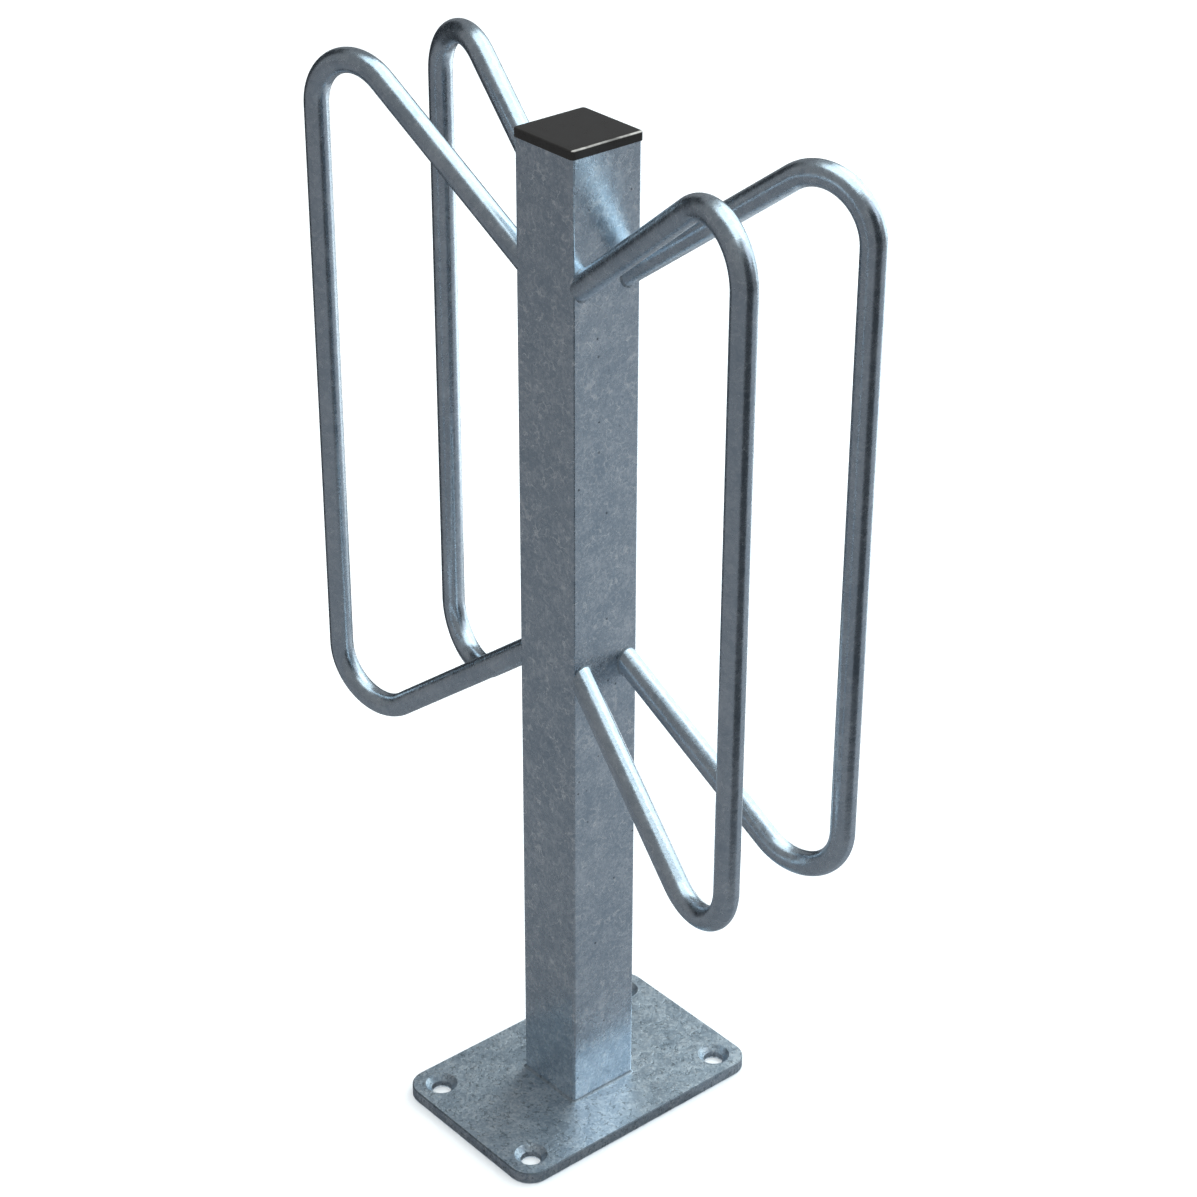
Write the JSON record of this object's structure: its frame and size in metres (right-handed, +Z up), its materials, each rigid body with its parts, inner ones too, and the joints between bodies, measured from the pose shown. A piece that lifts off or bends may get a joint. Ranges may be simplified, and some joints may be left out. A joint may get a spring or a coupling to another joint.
{
  "type": "bike stand",
  "caption": "Floor-mounted steel bike stand: square post on a bolted base plate, with splayed tube loops that hold a wheel on either side.",
  "frame": {"origin": "middle of the base plate's underside, on the ground under the post's axis", "axes": "+Z up along the post; X along the parked bicycles, towards either pair of loops; Y across them, along the base plate's long side"},
  "size_m": [0.46, 0.231, 0.8099],
  "materials": {
    "galvanised_steel": "hot-dip galvanised after welding, mottled blue-grey zinc, semi-gloss",
    "black_plastic": "moulded polyethylene, smooth satin black"
  },
  "bodies": {
    "root": {"base_plate": "galvanised_steel", "post": "galvanised_steel", "foot_weld": "galvanised_steel", "loop_right_near": "galvanised_steel", "loop_right_far": "galvanised_steel", "loop_left_near": "galvanised_steel", "loop_left_far": "galvanised_steel", "weld_right_near_upper": "galvanised_steel", "weld_right_near_lower": "galvanised_steel", "weld_right_far_upper": "galvanised_steel", "weld_right_far_lower": "galvanised_steel", "weld_left_near_upper": "galvanised_steel", "weld_left_near_lower": "galvanised_steel", "weld_left_far_upper": "galvanised_steel", "weld_left_far_lower": "galvanised_steel", "end_cap": "black_plastic"}
  },
  "joints": []
}
